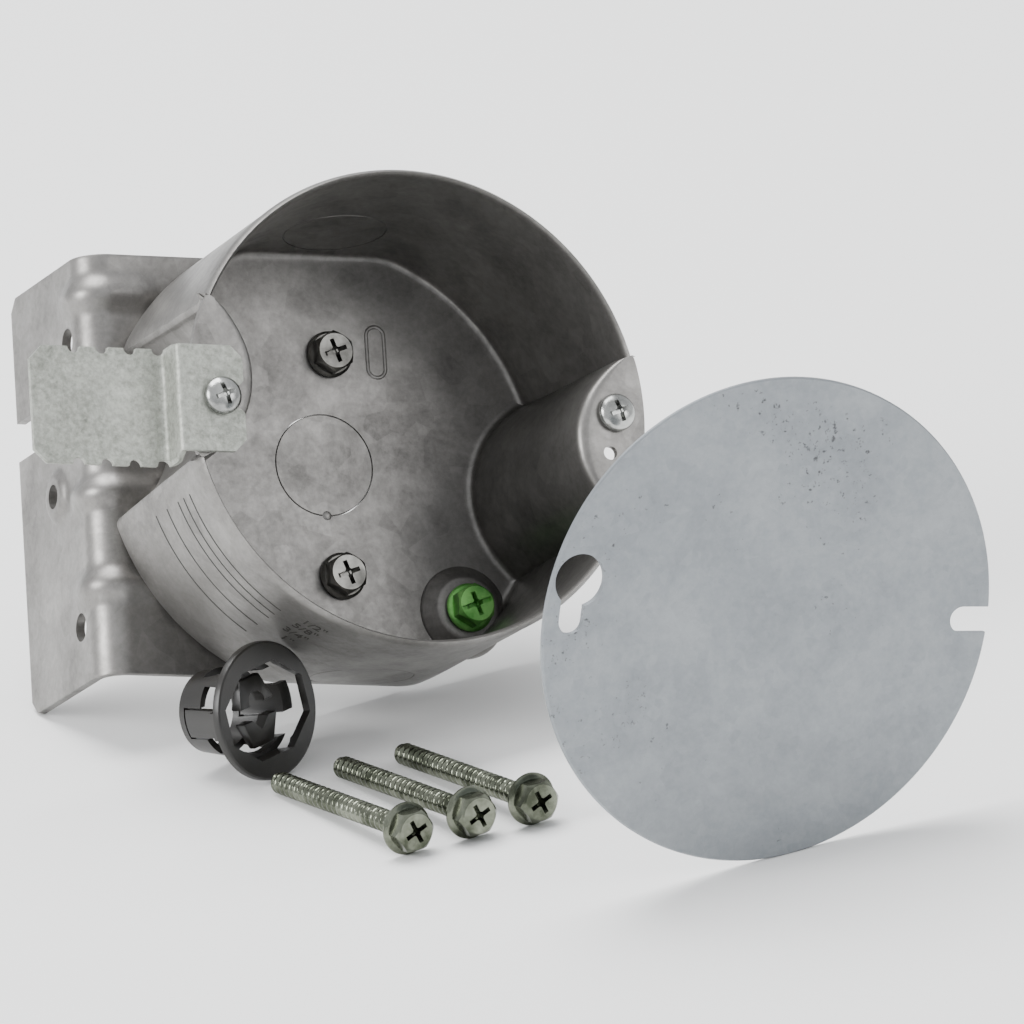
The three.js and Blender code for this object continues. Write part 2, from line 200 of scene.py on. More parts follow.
panel("left_panel", 1.0, 42, (-1.9, -0.7, 1.0))
panel("top_panel", 1.4, 60, (-0.3, 0.6, 1.9))
panel("right_fill", 0.9, 9, (1.5, -0.8, 0.8))
world = bpy.data.worlds.new("pale_room")
world.use_nodes = True
background = world.node_tree.nodes["Background"]
background.inputs["Color"].default_value = srgb("#f3f5f8")
background.inputs["Strength"].default_value = 1.08
bpy.context.scene.world = world

# %% [markdown]
# ## Zinc on steel
# The box and its bracket are hot dip galvanised steel sheet: the zinc freezes in flat
# crystals, the spangle, a few millimetres across, then the press smears and scuffs it. That
# gives the eye a soft mottle with greasy darker smudges and no mirror anywhere. Cells of a
# Voronoi pattern are the spangle, slow noise is the smudge and fine noise is the tooth.

# %% The sheet zinc finish
def sheet_zinc(name, pale, dark, spangle=5.0, smudge=0.36, rough=(0.32, 0.52),
               metallic=0.85, specks=0.0, knurl=0.0, grit=0.45):
    """Zinc sheet: spangle and knurl are sizes in millimetres, smudge and grit are strengths."""
    material, tree, shader = new_material(name)
    place = add(tree, "TexCoord").outputs["Object"]
    cells = add(tree, "TexVoronoi", {"Vector": place, "Scale": 1000 / spangle})
    cell_tone = add(tree, "SeparateColor", {"Color": cells.outputs["Color"]})
    cloud = noise(tree, place, 20, 8.0, Roughness=0.72, Distortion=0.3)
    tooth = noise(tree, place, 1.4, 4.0, Roughness=0.7)
    part = add(tree, "MapRange", {"Value": cloud, "From Min": 0.36, "From Max": 0.66,
                                  "To Max": smudge})
    mottled = add(tree, "Math", {0: cell_tone.outputs["Red"], 1: 0.12,
                                 2: part.outputs["Result"]}, operation="MULTIPLY_ADD")
    fine = add(tree, "Math", {0: tooth, 1: grit, 2: mottled.outputs["Value"]},
               operation="MULTIPLY_ADD").outputs["Value"]
    colour = ramp(tree, fine, (0.12, pale), (0.95, dark))
    if specks:
        dust = noise(tree, place, 1.6, 2.0, Roughness=0.8)
        clump = noise(tree, place, 40, 3.0)
        both = add(tree, "Math", {0: dust, 1: clump}, operation="MULTIPLY")
        mask = add(tree, "MapRange", {"Value": both.outputs["Value"], "From Min": 0.4,
                                      "From Max": 0.47, "To Max": specks})
        stained = add(tree, "Mix", {"Factor": mask.outputs["Result"], "A": colour,
                                    "B": srgb("#4a4a4c")}, data_type="RGBA")
        colour = stained.outputs["Result"]
    tree.links.new(colour, shader.inputs["Base Color"])
    shader.inputs["Metallic"].default_value = metallic
    gloss = add(tree, "MapRange", {"Value": fine, "From Min": 0.1, "From Max": 0.9,
                                   "To Min": rough[0], "To Max": rough[1]})
    tree.links.new(gloss.outputs["Result"], shader.inputs["Roughness"])
    dents = bump(tree, noise(tree, place, 14, 2.0), 0.35, 0.0006)
    if knurl:
        pits = add(tree, "TexVoronoi", {"Vector": place, "Scale": 1000 / knurl,
                                        "Randomness": 0.55})
        dents = bump(tree, pits.outputs["Distance"], 0.5, 0.0001, Normal=dents)
    tree.links.new(bump(tree, tooth, 0.25, 0.00008, Normal=dents), shader.inputs["Normal"])
    return material

box_zinc = sheet_zinc("galvanised_sheet", "#959390", "#53514f")
cover_zinc = sheet_zinc("galvanised_cover_sheet", "#989c9f", "#7b8085", spangle=2.4,
                        smudge=0.35, rough=(0.4, 0.6), specks=0.85)
tab_zinc = sheet_zinc("zinc_plated_strip", "#c9cbc3", "#74776f", spangle=0.7, smudge=0.2,
                      grit=0.9, rough=(0.42, 0.6), metallic=0.6, knurl=0.6)
print("finishes:", [m.name for m in (box_zinc, cover_zinc, tab_zinc)])

# %% [markdown]
# ## Sheet metal
# The shell, the bracket and the depth tab are all one sheet thickness everywhere. A box of
# faces could be carved for each, but a press starts from a flat blank, and so does this: a
# grid is added, each corner is moved to where the press puts it, the edges that meet are
# merged, and Solidify gives the sheet its gauge. Curves then keep an even thickness.

# %% Blank, gauge, cutters and finishing
def blank(name, across, along, form):
    """A flat grid with each corner moved to form(u, v), which counts faces along each side."""
    bare()
    bpy.ops.mesh.primitive_grid_add(x_subdivisions=across, y_subdivisions=along, size=2)
    piece = bpy.context.object
    piece.name = name
    for corner in piece.data.vertices:
        u = round((corner.co.x + 1) / 2 * across)
        v = round((corner.co.y + 1) / 2 * along)
        corner.co = form(u, v)
    return piece

def only(piece):
    """Selects one piece and makes it active."""
    bare()
    piece.select_set(True)
    bpy.context.view_layer.objects.active = piece

def weld(piece, gap=0.004, outwards=False):
    """Merges corners that meet, and turns the faces outwards where that is asked."""
    only(piece)
    bpy.ops.object.mode_set(mode="EDIT")
    bpy.ops.mesh.select_all(action="SELECT")
    bpy.ops.mesh.remove_doubles(threshold=gap)
    if outwards:
        bpy.ops.mesh.normals_make_consistent(inside=False)
    bpy.ops.object.mode_set(mode="OBJECT")

def finish_with(piece, kind, **settings):
    """Adds a modifier and applies it."""
    only(piece)
    modifier = piece.modifiers.new(kind.lower(), kind)
    for key, value in settings.items():
        setattr(modifier, key, value)
    bpy.ops.object.modifier_apply(modifier=modifier.name)

def gauge(piece, thickness, edge=0):
    """Gives a sheet its thickness behind its face, and eases its cut edges."""
    finish_with(piece, "SOLIDIFY", thickness=thickness, offset=-1)
    if edge:
        finish_with(piece, "BEVEL", width=edge, segments=2, limit_method="ANGLE",
                    angle_limit=rad(60))

def cut(piece, *tools, how="DIFFERENCE"):
    """Punches the tools out of a piece one by one, or joins them on or keeps what they share."""
    for tool in tools:
        finish_with(piece, "BOOLEAN", object=tool, operation=how, solver="MANIFOLD")
        bpy.data.objects.remove(tool)

def punch(radius, length, at, turn=(0, 0, 0), sides=40):
    """A round cutter."""
    bare()
    bpy.ops.mesh.primitive_cylinder_add(vertices=sides, radius=radius, depth=length,
                                        location=at, rotation=turn)
    return bpy.context.object

def chisel(size, at, turn=(0, 0, 0)):
    """A square cutter."""
    bare()
    bpy.ops.mesh.primitive_cube_add(size=1, location=at, rotation=turn)
    tool = bpy.context.object
    tool.dimensions = size
    bpy.ops.object.transform_apply(location=False, rotation=False, scale=True)
    return tool

def set_down(piece, name, where, body, material, slot, *nodes, angle=35):
    """Smooths a finished piece, puts it in its place and says what it stands for."""
    only(piece)
    bpy.ops.object.transform_apply(location=True, rotation=True, scale=True)
    bpy.ops.object.shade_smooth_by_angle(angle=rad(angle))
    piece.name = name
    piece.data.transform(where)
    piece.data.materials.clear()
    piece.data.materials.append(material)
    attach(piece, body)
    if nodes:
        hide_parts(*nodes)
    print(f"{name}: {len(piece.data.polygons)} faces")

# %% [markdown]
# ## Turned pieces
# Discs, screw heads and the connector are round about an axis. Spinning a profile needs the
# profile to be drawn first. A ring does the same from a primitive: it is extruded along the
# axis and resized, once for each step of the profile, and a tiny ring closes an end.

# %% Rings extruded and resized along a profile
def turned(name, profile, sides=48):
    """A ring, extruded and resized from each radius and height to the next."""
    bare()
    (radius, height), *rest = profile
    bpy.ops.mesh.primitive_circle_add(vertices=sides, radius=radius)
    piece = bpy.context.object
    piece.name = name
    bpy.ops.object.mode_set(mode="EDIT")
    bpy.ops.mesh.select_all(action="SELECT")
    bpy.ops.transform.translate(value=(0, 0, height))
    for next_radius, next_height in rest:
        bpy.ops.mesh.extrude_edges_move(TRANSFORM_OT_translate={
            "value": (0, 0, next_height - height)})
        grow = next_radius / radius
        bpy.ops.transform.resize(value=(grow, grow, 1), center_override=(0, 0, next_height))
        radius, height = next_radius, next_height
    bpy.ops.object.mode_set(mode="OBJECT")
    return piece

TINY = 0.001                    # the radius of a ring that closes an end

def closed(piece):
    """Merges what meets, and makes sure that the faces point outwards."""
    weld(piece, gap=0.002, outwards=True)
    if sum(f.area * f.center.dot(f.normal) for f in piece.data.polygons) < 0:
        piece.data.flip_normals()
    return piece

def disc(name, radius, thickness, ease=0.15, sides=72):
    """A flat disc from z = 0 up, its edges eased."""
    return closed(turned(name, [
        (TINY, 0), (radius - ease, 0), (radius, ease), (radius, thickness - ease),
        (radius - ease, thickness), (TINY, thickness)], sides))

# %% [markdown]
# ## The shell
# One drawing of the press makes the floor, the round wall, two flats for the side
# knockouts and two pockets that clear the cover screws, then a second stroke rolls the
# pocket rims over into ears. Merging cylinders would leave sharp seams, while the steel
# has a generous bend at each. So one outline is worked out for each height, its corners
# rounded by blending the wall, flat and pocket, and the blank's rows are laid along it.

# %% The inside outline at a height
DEPTH, GAUGE = 54.0, 1.6
FLAT = 47.5 - GAUGE             # the inner face of a flat, at the back of the box
POCKET = Vector((55.0, -5.5))
LEAN = 3.5 / 44                 # how fast the flats fade into the round wall

def mix_low(a, b, width):
    """The smaller of two radii, rounded where they cross."""
    gap = max(width - abs(a - b), 0) / width
    return min(a, b) - gap * gap * width / 4

def inside_radius(angle, height, inset=0.0):
    """How far the inner wall, moved in by inset, is from the axis, looking out at an angle."""
    wall = 48.6 + 0.8 * height / DEPTH - inset
    flat = FLAT + LEAN * height - inset
    rise = abs(math.sin(angle))
    radius = mix_low(wall, flat / rise, 0.8) if rise > 0.5 else wall
    pocket_radius = 21.6 - 2.6 * height / DEPTH + inset
    width = 4.6 + 4.0 * (height / DEPTH) ** 2
    for side in (1, -1):
        middle = POCKET * side
        along_ray = middle.x * math.cos(angle) + middle.y * math.sin(angle)
        off_ray = middle.length_squared - along_ray * along_ray
        if along_ray > 0 and off_ray < pocket_radius ** 2:
            pocket = along_ray - math.sqrt(pocket_radius ** 2 - off_ray)
            radius = mix_low(radius, pocket, width)
    return radius

START = math.atan2(POCKET.y, POCKET.x)
SPOKES = 320

def outline(height, inset=0.0, fine=1400):
    """SPOKES points round the inside, close together where it turns sharply."""
    angles = [START + math.pi * i / fine for i in range(fine + 1)]
    points = [Vector((math.cos(a), math.sin(a))) * inside_radius(a, height, inset)
              for a in angles]
    lengths, turns = [], []
    for i in range(fine):
        step = points[i + 1] - points[i]
        before = points[i] - points[i - 1] if i else step
        lengths.append(step.length)
        turns.append(abs(before.angle_signed(step)))
    weight = [0.55 * length / sum(lengths) + 0.45 * turn / sum(turns)
              for length, turn in zip(lengths, turns)]
    half, total, k = [], 0.0, 0
    for j in range(SPOKES // 2):
        goal = j / (SPOKES // 2)
        while k < fine - 1 and total + weight[k] < goal:
            total += weight[k]
            k += 1
        half.append(points[k].lerp(points[k + 1], (goal - total) / weight[k]))
    return half + [-p for p in half]

print("inner radius at the floor:", round(inside_radius(math.pi / 2, 0), 2),
      "at a pocket:", round(inside_radius(START, 0), 2))

# %% Rows from the hole in the floor out to the ears
CREASE, BEND, LIP = 1.5, 2.2, 0.8   # bend radii of the floor, the ears and the rim
EAR_REACH = 49.4                    # the ears fill the pockets out to here
FLOOR_ROWS, CREASE_ROWS, WALL_ROWS, BEND_ROWS, EAR_ROWS = 36, 5, 14, 4, 8
KNOCKOUT_HOLE, KNOCKOUT_DISC = 11.1, 10.95
GROUND = Vector((29.7, -30.7))

def smooth(x):
    """An even step from 0 to 1."""
    x = min(max(x, 0), 1)
    return x * x * (3 - 2 * x)

def ear_share(reach):
    """1 in a pocket, where the sheet rolls over into an ear, and 0 on the round wall."""
    return smooth((EAR_REACH - reach) / 4)

def shell_rows():
    """The rows of the blank: floor, crease, wall, bend and ear."""
    rows = []
    foot = outline(GAUGE, CREASE)
    hole = [Vector((math.cos(a), math.sin(a))) * KNOCKOUT_HOLE
            for a in (START + 2 * math.pi * j / SPOKES for j in range(SPOKES))]
    for k in range(FLOOR_ROWS + 1):
        share = k / FLOOR_ROWS
        rows.append([(*a.lerp(b, share), GAUGE) for a, b in zip(hole, foot)])
    for k in range(1, CREASE_ROWS + 1):
        a = rad(90) * k / CREASE_ROWS
        bend = outline(GAUGE, CREASE * (1 - math.sin(a)))
        rows.append([(*p, GAUGE + CREASE * (1 - math.cos(a))) for p in bend])
    for k in range(1, WALL_ROWS + 1):
        height = GAUGE + CREASE + (DEPTH - BEND - GAUGE - CREASE) * k / WALL_ROWS
        rows.append([(*p, height) for p in outline(height)])
    top = outline(DEPTH)
    ears = [ear_share(p.length) for p in top]
    rolls = [LIP + (BEND - LIP) * ear for ear in ears]
    ends = [p.normalized() * (max(p.length, EAR_REACH) + LIP + LIP * ear)
            for p, ear in zip(top, ears)]
    for k in range(1, BEND_ROWS + 1):
        a = rad(90) * k / BEND_ROWS
        rows.append([(*(p + p.normalized() * r * (1 - math.cos(a))),
                      DEPTH - BEND + (BEND - r) * k / BEND_ROWS + r * math.sin(a))
                     for p, r in zip(top, rolls)])
    for k in range(1, EAR_ROWS + 1):
        share = k / EAR_ROWS
        rows.append([(*(p + p.normalized() * r).lerp(e, share), DEPTH)
                     for p, r, e in zip(top, rolls, ends)])
    return rows

rows = shell_rows()

shell = blank("box_shell", SPOKES, len(rows) - 1, lambda u, v: rows[v][u % SPOKES])
weld(shell)
print("blank:", len(shell.data.vertices), "corners")

# %% Gauge and punched holes
only(shell)
up = sum(f.normal.z * f.area for f in shell.data.polygons if f.center.z < 2)
if up < 0:
    shell.data.flip_normals()
count = len(shell.data.vertices)
gauge(shell, GAUGE)
corners = shell.data.vertices
for near, far in zip(corners[:count], corners[count:]):
    if near.co.z > DEPTH - BEND - 0.01:     # rounds the outside of the rim to meet the inside
        angle = math.atan2(near.co.y, near.co.x)
        start = inside_radius(angle, DEPTH)
        reach = near.co.xy.length
        rounded = near.co * (start + GAUGE - min(reach - start, LIP)) / reach
        rounded.z = near.co.z
        far.co = rounded.lerp(far.co, ear_share(start))
weld(shell)

def raised_seat(grow, low):
    """The cone that lifts the ground screw, or with a negative grow the hollow behind it."""
    seat = closed(turned("seat", [
        (TINY, low), (10.1 + grow, low), (9.75 + grow, GAUGE + 0.08), (9.35 + grow, GAUGE + 0.4),
        (7.1 + grow, GAUGE + 2.6), (6.7 + grow, GAUGE + 2.9), (6.2 + grow, GAUGE + 3),
        (TINY, GAUGE + 3)], 64))
    seat.data.transform(Matrix.Translation((*GROUND, 0)))
    return seat

cut(shell, raised_seat(0, 0.3), how="UNION")
hollow = raised_seat(-1.2, -1)
hollow.data.transform(Matrix.Translation((0, 0, -1.4)))
cut(shell, hollow)

EAR_SCREW_X = 44.45
BRACKET_SCREWS = ((2.5, 24), (2.5, -24))
SIDE_KNOCKOUT = 15              # the height of the two knockouts in the flats

def side_place(side):
    """The frame on a flat's inner face, its z axis out through the wall."""
    tilt = math.atan(LEAN)
    x = Vector((1, 0, 0))
    z = Vector((0, side * math.cos(tilt), -math.sin(tilt)))
    at = Vector((0, side * (FLAT + SIDE_KNOCKOUT * LEAN), SIDE_KNOCKOUT))
    return Matrix.Translation(at) @ Matrix((x, z.cross(x), z)).transposed().to_4x4()

def side_tool(side):
    """The round tool of a knockout in a flat, square to it."""
    tool = punch(KNOCKOUT_HOLE, 9, (0, 0, 0), sides=64)
    tool.data.transform(side_place(side) @ Matrix.Translation((0, 0, 0.5)))
    return tool

cut(shell,
    side_tool(1), side_tool(-1),
    *[punch(2.5, 8, (x, y, 1)) for x, y in BRACKET_SCREWS], punch(2.8, 12, (*GROUND, 3)),
    punch(2.4, 8, (EAR_SCREW_X, 0, DEPTH)), punch(2.4, 8, (-EAR_SCREW_X, 0, DEPTH)),
    punch(1.5, 8, (42.8, -8.5, DEPTH), sides=24), punch(1.5, 8, (-42.8, 8.5, DEPTH), sides=24))
set_down(shell, "drawn_shell", BOX, "box", box_zinc, "galvanised_steel", "box_shell", angle=40)

# %% [markdown]
# ## Knockouts
# A knockout is a disc sheared almost free of the sheet and left on a tie, so all that shows
# is a hairline round it and the tie. Each is turned from a ring: a disc with eased edges
# that fills its hole but for the hairline.

# %% The three knockouts, with a tie on the back one
back = disc("back", KNOCKOUT_DISC, GAUGE)
bare()
TIE_AT = (0, -10.9, 1.05)
bpy.ops.mesh.primitive_uv_sphere_add(segments=24, ring_count=12, radius=1.5, location=TIE_AT)
tie = bpy.context.object
bpy.ops.transform.resize(value=(1, 1, 0.5), center_override=TIE_AT)
bpy.ops.object.transform_apply(location=True, rotation=True, scale=True)
cut(back, tie, how="UNION")
set_down(back, "back_knockout_disc", BOX, "knockout_back", box_zinc, "galvanised_steel",
         "knockout_back", angle=18)

for side, word in ((1, "upper"), (-1, "lower")):
    piece = disc(word, KNOCKOUT_DISC, GAUGE)
    piece.data.transform(side_place(side))
    set_down(piece, f"{word}_knockout_disc", BOX, f"knockout_{word}", box_zinc,
             "galvanised_steel", f"knockout_{word}")

# %% [markdown]
# ## The bracket
# A second sheet, folded once round a 6.6 mm bend, with three ribs pressed across the bend
# to stiffen it and a raised seat round the middle nail hole. Modelled flat it is one grid,
# and a short formula wraps it round the bend: the Bend operator would need a window.

# %% Path of the fold, ribs and seat
PLATE, FOLD, CLEAR = 2.0, 6.6, 0.3       # gauge, bend radius and gap behind the box
PLATE_RIGHT, PLATE_TOP, PLATE_BOTTOM = 15, 44.6, -45.8
WING, WING_BACK = -51.7, -42
FLAT_RUN = PLATE_RIGHT - (WING + FOLD)   # from the plate's right edge to the fold
FOLD_RUN = FOLD * math.pi / 2
WING_RUN = -WING_BACK - CLEAR - FOLD
RUN = FLAT_RUN + FOLD_RUN + WING_RUN
RIBS = ((36.2, 5.0), (-6.5, 4.6), (-26.5, 5.0))                            # height, half width
NAIL_HOLES = ((27.6, -10.5, 3), (-3.3, -20.7, 2.6), (-33.6, -11.5, 3))     # height, depth, radius
BLANK_ALONG, BLANK_UP = 132, 110

def rib(run, y):
    """How far the sheet is pushed out: ribs over the fold, and a ring round the nail hole."""
    ends = smooth((run - (FLAT_RUN - 12)) / 6) * smooth((FLAT_RUN + FOLD_RUN + 9 - run) / 8)
    height = sum(1.5 * math.cos(min(abs(y - middle) / half, 1) * math.pi / 2) ** 2
                 for middle, half in RIBS) * ends
    hole_y, hole_z, _ = NAIL_HOLES[1]
    hole_run = FLAT_RUN + FOLD_RUN - hole_z - CLEAR - FOLD
    return height + 1.1 * smooth((6.0 - math.hypot(y - hole_y, run - hole_run)) / 1.8)

def folded(u, v):
    """A corner of the blank once it is ribbed and folded."""
    run = RUN * u / BLANK_ALONG
    y = PLATE_BOTTOM + (PLATE_TOP - PLATE_BOTTOM) * v / BLANK_UP
    lift = rib(run, y)
    if run < FLAT_RUN:
        return (PLATE_RIGHT - run, y, -CLEAR + lift)
    if run < FLAT_RUN + FOLD_RUN:
        a = (run - FLAT_RUN) / FOLD
        return (WING + FOLD - (FOLD + lift) * math.sin(a), y,
                -CLEAR - FOLD + (FOLD + lift) * math.cos(a))
    return (WING - lift, y, -CLEAR - FOLD - (run - FLAT_RUN - FOLD_RUN))

bracket = blank("bracket", BLANK_ALONG, BLANK_UP, folded)
if max(bracket.data.polygons, key=lambda f: f.center.x).normal.z < 0:
    bracket.data.flip_normals()
gauge(bracket, PLATE, edge=0.35)
across = (0, rad(90), 0)
corner = 3 * math.sqrt(2)
cut(bracket,
    *[punch(radius, 14, (WING, y, z), across) for y, z, radius in NAIL_HOLES],
    chisel((14, 8.4, 14), (WING, 13.5, WING_BACK + 4)),
    *[chisel((14, corner, corner), (WING, y, WING_BACK), (rad(45), 0, 0))
      for y in (PLATE_TOP, PLATE_BOTTOM)],
    punch(13, 12, (0, 0, -2), sides=64), *[punch(2.5, 12, (x, y, -2)) for x, y in BRACKET_SCREWS])
set_down(bracket, "folded_bracket", BOX, "box", box_zinc, "galvanised_steel", "bracket", angle=40)

# %% [markdown]
# ## The depth tab
# A strip of thinner plated steel under the left cover screw, stepped back along the wall, with
# nicks on both edges where it can be bent to suit the ceiling board. Like the bracket it
# is one blank, laid along a stepped path with tight bends, then nicked and slotted.

# %% Path of the step
TAB, TAB_BEND = 1.3, 1.5
TAB_FRONT = DEPTH + CLEAR + TAB
TAB_BACK = TAB_FRONT - 7.8
TAB_INNER, TAB_STEP, TAB_END = -39.4, -53.9, -83.3
NARROW, WIDE = (-11.6, 10.9), (-13.4, 11.5)     # its edges under the screw, and past the step
TAB_ALONG, TAB_UP = 100, 48

def along_path(points, distance):
    """The point at a distance along a path of straight runs."""
    for a, b in zip(points, points[1:]):
        length = (b - a).length
        if distance <= length:
            return a.lerp(b, distance / length)
        distance -= length
    return points[-1]

def eased(points, radius, steps=5):
    """A path whose square corners are rounded."""
    path = [points[0]]
    for before, corner_at, after in zip(points, points[1:], points[2:]):
        start = corner_at + (before - corner_at).normalized() * radius
        end = corner_at + (after - corner_at).normalized() * radius
        for k in range(steps + 1):
            t = k / steps
            path.append(start.lerp(corner_at, t).lerp(corner_at.lerp(end, t), t))
    return path + [points[-1]]

tab_path = eased([Vector((TAB_INNER, TAB_FRONT)), Vector((TAB_STEP, TAB_FRONT)),
                  Vector((TAB_STEP, TAB_BACK)), Vector((TAB_END, TAB_BACK))], TAB_BEND)
TAB_RUN = sum((b - a).length for a, b in zip(tab_path, tab_path[1:]))

def tab_point(u, v):
    """A corner of the blank once it is stepped."""
    run = TAB_RUN * u / TAB_ALONG
    x, z = along_path(tab_path, run)
    wide = smooth((run - 14) / 4)
    low, high = (near + (far - near) * wide for near, far in zip(NARROW, WIDE))
    return (x, low + (high - low) * v / TAB_UP, z)

tab = blank("tab", TAB_ALONG, TAB_UP, tab_point)
if max(tab.data.polygons, key=lambda f: f.center.x).normal.z < 0:
    tab.data.flip_normals()
gauge(tab, TAB, edge=0.2)
cut(tab,
    punch(2.5, 12, (-EAR_SCREW_X, 0, 54)), chisel((6.5, 5, 12), (-41.2, 0, 54.2)),
    chisel((6, 6, 9), (-38.6, 0, 54), (0, 0, rad(45))),
    *[punch(1.4, 12, (TAB_STEP - 1 - 6.2 * i, y, 50), sides=24) for i in range(4)
      for y in reversed(WIDE)],
    *[chisel((3.6, 3.6, 14), (TAB_INNER, y, 54), (0, 0, rad(45))) for y in reversed(NARROW)],
    *[chisel((4, 4, 14), (TAB_END, y, 48), (0, 0, rad(45))) for y in reversed(WIDE)])
set_down(tab, "stepped_tab", BOX, "depth_tab", tab_zinc, "zinc_strip", "depth_tab", angle=40)

# %% [markdown]
# ## Screws
# Every screw has the same three parts: a formed head, a cross recess and a rolled thread. A
# Screw modifier would give the thread loose ends that don't close, so the thread
# is a blank rolled into a rod, its radius rising and falling along a helix, closed at both
# ends. The chamfer of a hex head is what a hexagon and a shallow cone have in common.

# %% Thread, recess and heads
def threaded(radius, root, pitch, low, high, taper, around=24):
    """A rod from low to high with a helical ridge, and a tip that narrows over taper."""
    rows = round((high - low) / pitch * 8)

    def form(u, v):
        z = low + (high - low) * max(0, min(v - 1, rows - 2)) / (rows - 2)
        ridge = abs(2 * ((z / pitch - u / around) % 1) - 1)
        r = root + (radius - root) * smooth(1.5 * ridge - 0.1)
        r *= 0.72 + 0.28 * smooth((z - low) / taper)
        if v in (0, rows):
            r = TINY
        a = 2 * math.pi * u / around
        return (r * math.cos(a), r * math.sin(a), z)

    return closed(blank("thread", around, rows, form))

def recess(piece, top, span, depth):
    """Sinks a cross with sloping ends, turned a little as a driven screw is."""
    for turn in (20, 110):
        arm = chisel((span, span * 0.19, depth * 2), (0, 0, 0))
        for corner in arm.data.vertices:
            corner.co.x *= 0.5 if corner.co.z < 0 else 1.5
            corner.co.y *= 0.7 if corner.co.z < 0 else 1.3
        arm.data.transform(Matrix.Translation((0, 0, top)) @ Matrix.Rotation(rad(turn), 4, "Z"))
        cut(piece, arm)
    cut(piece, punch(span * 0.19, depth * 2.4, (0, 0, top), sides=8))

def hex_head(flange, flats, top, slot=0):
    """A hexagon over a flange, its own height in top, with a slot of that length if any."""
    head = closed(turned("head", [
        (TINY, 0), (flange - 0.25, 0), (flange, 0.25), (flange, 0.65), (flange - 0.3, 0.95),
        (flats / 2 + 0.4, 1.2), (TINY, 1.2)]))
    corner_at = flats / math.sqrt(3)
    prism = punch(corner_at, top - 0.5, (0, 0, (top + 0.5) / 2), sides=6)
    cone = closed(turned("cone", [
        (TINY, 0.2), (corner_at + 0.3, 0.2), (corner_at + 0.1, top - 1.0),
        (flats / 2 * 0.93, top), (TINY, top)]))
    cut(prism, cone, how="INTERSECT")
    cut(head, prism, how="UNION")
    recess(head, top, 5.2, (top - 1) * 0.6)
    if slot:
        cut(head, chisel((slot, 0.9, 2.4), (0, 0, top), (0, 0, rad(20))))
    return head

def pan_head(radius, top):
    """A low domed head."""
    head = closed(turned("pan", [
        (TINY, 0), (radius - 0.2, 0), (radius, 0.2), (radius, 0.8), (radius * 0.94, 1.35),
        (radius * 0.78, 1.95), (radius * 0.52, 2.38), (radius * 0.25, top - 0.04), (TINY, top)]))
    recess(head, top, radius * 1.3, top * 0.6)
    return head

def screw(head, thread):
    """The head with its thread joined on."""
    cut(head, thread, how="UNION")
    return head

def lifted(x, y, z):
    """The box's frame, moved to a point in it."""
    return BOX @ Matrix.Translation((x, y, z))

# %% [markdown]
# ## Plated screws
# Zinc plate on a turned screw is thin and bright, with a dark line where the thread's
# root shades itself. The ground screw is dyed green over the same plate, so it stays a
# metal, and the mounting screws carry an olive-grey passivation.

# %% The plated finishes
def plated(name, pale, dark, rough, metallic=0.95):
    """Bright plate: slow tone changes and a fine drawn tooth."""
    material, tree, shader = new_material(name)
    place = add(tree, "TexCoord").outputs["Object"]
    cloud = noise(tree, place, 6, 5.0, Roughness=0.6)
    tree.links.new(ramp(tree, cloud, (0.36, dark), (0.62, pale)), shader.inputs["Base Color"])
    shader.inputs["Metallic"].default_value = metallic
    gloss = add(tree, "MapRange", {"Value": cloud, "From Min": 0.3, "From Max": 0.7,
                                   "To Min": rough + 0.08, "To Max": rough})
    tree.links.new(gloss.outputs["Result"], shader.inputs["Roughness"])
    tooth = noise(tree, place, 0.5, 3.0)
    tree.links.new(bump(tree, tooth, 0.2, 0.00005), shader.inputs["Normal"])
    return material

bright = plated("bright_zinc_plate", "#b9bab7", "#868785", 0.2)
worn = plated("worn_zinc_plate", "#83827e", "#565552", 0.28)
green = plated("green_dyed_zinc", "#7fc169", "#4d9140", 0.3, metallic=0.6)
olive = plated("olive_passivated_zinc", "#7d8173", "#43473b", 0.18)

# %% Screws on the box
for name, x, z in (("rim_screw_left", -EAR_SCREW_X, TAB_FRONT + CLEAR),
                   ("rim_screw_right", EAR_SCREW_X, DEPTH + CLEAR)):
    set_down(screw(pan_head(4, 2.6), threaded(2.0, 1.6, 0.8, -12.7, 0.3, 1)), name + "_visual",
             lifted(x, 0, z), name, bright, "bright_zinc", name)
for name, (x, y) in zip(("bracket_screw_upper", "bracket_screw_lower"), BRACKET_SCREWS):
    set_down(screw(hex_head(5, 8, 4), threaded(2.1, 1.7, 1.02, -7.5, 0.3, 1)), name + "_visual",
             lifted(x, y, GAUGE + CLEAR), name, worn, "dark_zinc", name)
set_down(screw(hex_head(5.2, 8, 4.6, slot=7), threaded(2.3, 1.85, 0.93, -6.5, 0.3, 1)),
         "ground_screw_visual", lifted(*GROUND, GAUGE + CLEAR + 3), "ground_screw", green,
         "green_zinc", "ground_screw")

# %% The three mounting screws
for i, where in enumerate(SCREWS, 1):
    thread = threaded(THREAD_RADIUS, 1.85, 1.9, -SCREW_LENGTH, 0.3, 1.6)
    set_down(screw(hex_head(HEAD_RADIUS, 8, 4.6), thread), f"mounting_screw_{i}_visual", where,
             f"mounting_screw_{i}", olive, "grey_zinc", f"mounting_screw_{i}")

# %% [markdown]
# ## The cover
# A blank disc stamped from lighter sheet, with a keyhole for one cover screw and an open
# slot for the other, so that it goes on without taking either screw out. A stamped edge is
# rounded on the side the tool came from, and this one is eased on both.

